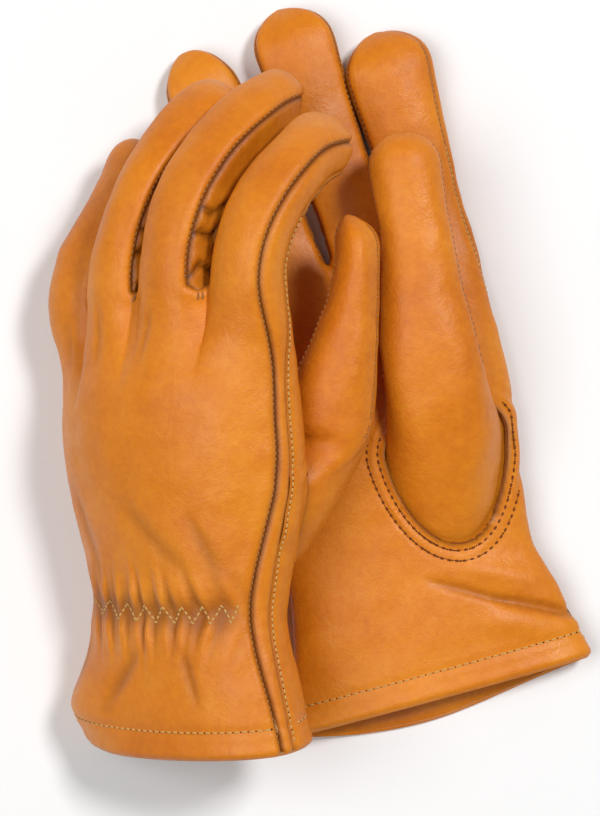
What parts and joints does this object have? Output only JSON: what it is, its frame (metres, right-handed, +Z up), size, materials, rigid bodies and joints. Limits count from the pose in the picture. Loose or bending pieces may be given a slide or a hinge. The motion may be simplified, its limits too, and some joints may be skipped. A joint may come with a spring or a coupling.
{
  "type": "pair of leather work gloves",
  "caption": "Unlined leather gloves sewn from shaped panels, with elastic wrists, keystone thumbs and jointed fingers, laid one across the other.",
  "frame": {"origin": "on the table, under the middle of the pair as it lies", "axes": "+Z up from the table; +Y towards the fingertips; +X to the right, the side of the glove that lies palm up"},
  "size_m": [0.188, 0.2564, 0.0852],
  "materials": {
    "leather": "satin grain leather",
    "inner_leather": "matte flesh side",
    "thread": "twisted thread",
    "elastic": "woven elastic tape"
  },
  "bodies": {
    "right_hand": {"right_back_panel": "leather", "right_palm_panel": "leather", "right_side_strip": "leather", "right_fourchette_index_middle": "leather", "right_fourchette_middle_ring": "leather", "right_fourchette_ring_little": "leather", "right_cuff_hem": "inner_leather", "right_wrist_elastic": "elastic", "right_elastic_stitching": "thread", "right_hem_stitching": "thread", "right_side_seam_stitching": "thread", "right_thumb_seam_stitching": "thread", "right_thumb_front_root": "leather", "right_thumb_back_root": "leather"},
    "left_hand": {"left_back_panel": "leather", "left_palm_panel": "leather", "left_side_strip": "leather", "left_fourchette_index_middle": "leather", "left_fourchette_middle_ring": "leather", "left_fourchette_ring_little": "leather", "left_cuff_hem": "inner_leather", "left_wrist_elastic": "elastic", "left_elastic_stitching": "thread", "left_hem_stitching": "thread", "left_side_seam_stitching": "thread", "left_thumb_seam_stitching": "thread", "left_thumb_front_root": "leather", "left_thumb_back_root": "leather"},
    "left_thumb": {"left_thumb_front_tip": "leather", "left_thumb_back_tip": "leather", "left_thumb_tip_stitching": "thread"},
    "left_index_finger": {"left_index_tip_back": "leather", "left_index_tip_palm": "leather", "left_index_tip_sides": "leather"},
    "left_middle_finger": {"left_middle_tip_back": "leather", "left_middle_tip_palm": "leather", "left_middle_tip_sides": "leather"},
    "left_ring_finger": {"left_ring_tip_back": "leather", "left_ring_tip_palm": "leather", "left_ring_tip_sides": "leather"},
    "left_little_finger": {"left_little_tip_back": "leather", "left_little_tip_palm": "leather", "left_little_tip_sides": "leather"},
    "right_thumb": {"right_thumb_front_tip": "leather", "right_thumb_back_tip": "leather", "right_thumb_tip_stitching": "thread"},
    "right_index_finger": {"right_index_tip_back": "leather", "right_index_tip_palm": "leather", "right_index_tip_sides": "leather"},
    "right_middle_finger": {"right_middle_tip_back": "leather", "right_middle_tip_palm": "leather", "right_middle_tip_sides": "leather"},
    "right_ring_finger": {"right_ring_tip_back": "leather", "right_ring_tip_palm": "leather", "right_ring_tip_sides": "leather"},
    "right_little_finger": {"right_little_tip_back": "leather", "right_little_tip_palm": "leather", "right_little_tip_sides": "leather"}
  },
  "joints": [
    {"name": "left_glove_lift", "type": "slide", "parent": "right_hand", "child": "left_hand", "axis": [0, 0, 1], "range_m": [0, 0.25]},
    {"name": "left_index_bend", "type": "hinge", "parent": "left_hand", "child": "left_index_finger", "pos_m": [-0.01546, 0.06966, 0.07795], "axis": [0.7555, -0.3598, 0.5475], "range_deg": [0, 45]},
    {"name": "left_middle_bend", "type": "hinge", "parent": "left_hand", "child": "left_middle_finger", "pos_m": [-0.03873, 0.07788, 0.06809], "axis": [0.7585, -0.3438, 0.5536], "range_deg": [0, 45]},
    {"name": "left_ring_bend", "type": "hinge", "parent": "left_hand", "child": "left_ring_finger", "pos_m": [-0.06096, 0.0733, 0.05341], "axis": [0.7614, -0.3276, 0.5595], "range_deg": [0, 40]},
    {"name": "left_little_bend", "type": "hinge", "parent": "left_hand", "child": "left_little_finger", "pos_m": [-0.08293, 0.05734, 0.03311], "axis": [0.7719, -0.2453, 0.5865], "range_deg": [0, 30]},
    {"name": "left_thumb_bend", "type": "hinge", "parent": "left_hand", "child": "left_thumb", "pos_m": [-0.00026, -0.01874, 0.05866], "axis": [0.9752, -0.1999, 0.0949], "range_deg": [0, 15]},
    {"name": "right_index_bend", "type": "hinge", "parent": "right_hand", "child": "right_index_finger", "pos_m": [0.02915, 0.08428, 0.0146], "axis": [0.9603, 0.279, 0], "range_deg": [0, 75]},
    {"name": "right_middle_bend", "type": "hinge", "parent": "right_hand", "child": "right_middle_finger", "pos_m": [0.0001, 0.08616, 0.01358], "axis": [0.9415, 0.3371, 0], "range_deg": [0, 40]},
    {"name": "right_ring_bend", "type": "hinge", "parent": "right_hand", "child": "right_ring_finger", "pos_m": [-0.0267, 0.07329, 0.01358], "axis": [0.8894, 0.4571, 0], "range_deg": [0, 8]},
    {"name": "right_little_bend", "type": "hinge", "parent": "right_hand", "child": "right_little_finger", "pos_m": [-0.04564, 0.05066, 0.01283], "axis": [0.9048, 0.4258, 0], "range_deg": [0, 5]},
    {"name": "right_thumb_bend", "type": "hinge", "parent": "right_hand", "child": "right_thumb", "pos_m": [0.03613, 0.00834, 0.0449], "axis": [0.9921, 0.1253, 0], "range_deg": [0, 45]}
  ]
}
